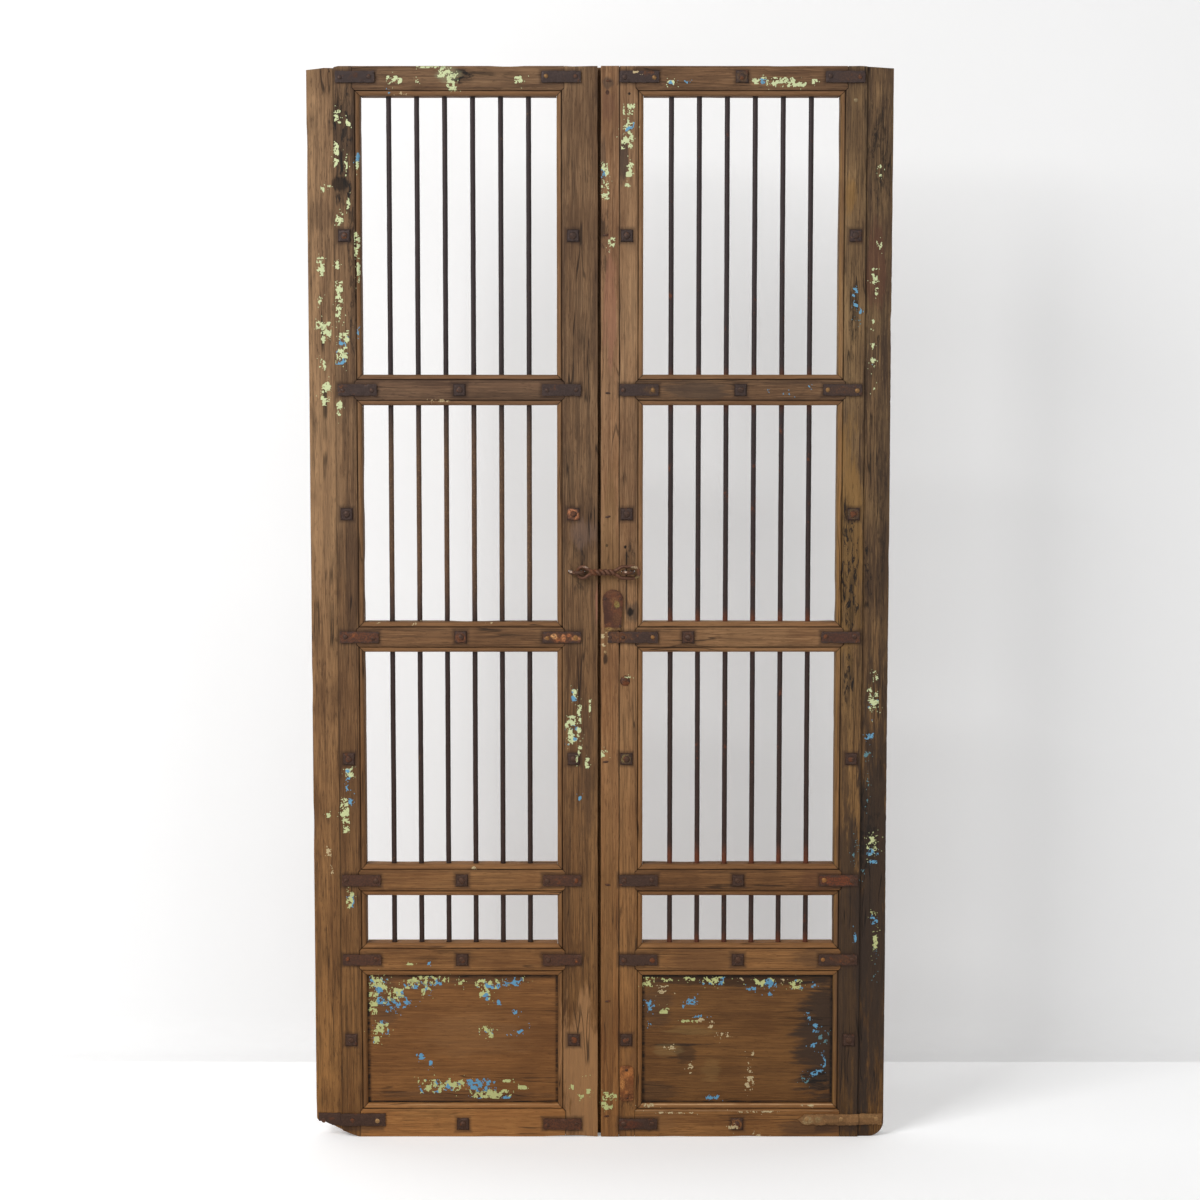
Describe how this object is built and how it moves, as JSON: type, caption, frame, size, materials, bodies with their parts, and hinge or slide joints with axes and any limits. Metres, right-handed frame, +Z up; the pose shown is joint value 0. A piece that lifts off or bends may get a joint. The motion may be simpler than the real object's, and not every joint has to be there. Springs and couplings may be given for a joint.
{
  "type": "pair of jali doors",
  "caption": "Pair of old hardwood doors with upright iron bars in moulded frames, solid foot panels, iron straps and a two-eyed hasp across the meeting stiles.",
  "frame": {"origin": "on the left leaf's hanging edge face, at mid-thickness and mid-height", "axes": "+X along the pair to the right, +Y away from the viewer, +Z up"},
  "size_m": [1.0924, 0.074, 2.032],
  "materials": {
    "aged_wood": "weathered, oiled brown hardwood with old paint flakes",
    "dark_iron": "dark forged iron, lightly rusted",
    "rusted_iron": "orange rust"
  },
  "bodies": {
    "left_leaf": {"left_hanging_stile": "aged_wood", "left_meeting_stile": "aged_wood", "left_bottom_rail": "aged_wood", "left_panel_rail": "aged_wood", "left_lower_rail": "aged_wood", "left_lock_rail": "aged_wood", "left_upper_rail": "aged_wood", "left_top_rail": "aged_wood", "left_panel": "aged_wood", "left_bars": "dark_iron", "left_roves": "dark_iron", "left_straps": "dark_iron", "left_heel_strap": "dark_iron", "left_staple": "dark_iron"},
    "right_leaf": {"right_hanging_stile": "aged_wood", "right_meeting_stile": "aged_wood", "right_edge_strip": "aged_wood", "right_bottom_rail": "aged_wood", "right_panel_rail": "aged_wood", "right_lower_rail": "aged_wood", "right_lock_rail": "aged_wood", "right_upper_rail": "aged_wood", "right_top_rail": "aged_wood", "right_panel": "aged_wood", "right_bars": "dark_iron", "right_roves": "dark_iron", "right_straps": "dark_iron", "right_toe_strap": "dark_iron", "right_staple": "dark_iron", "right_lock_plate": "dark_iron", "right_foot_plate": "rusted_iron"},
    "hasp": {"hasp": "dark_iron"}
  },
  "joints": [
    {"name": "right_leaf_swing", "type": "hinge", "parent": "left_leaf", "child": "right_leaf", "pos_m": [1.0734, 0, 0], "axis": [0, 0, -1], "range_deg": [0, 90]},
    {"name": "hasp_swing", "type": "hinge", "parent": "left_leaf", "child": "hasp", "pos_m": [0.504, -0.032, 0.075], "axis": [0, 0, -1], "range_deg": [0, 135]}
  ]
}
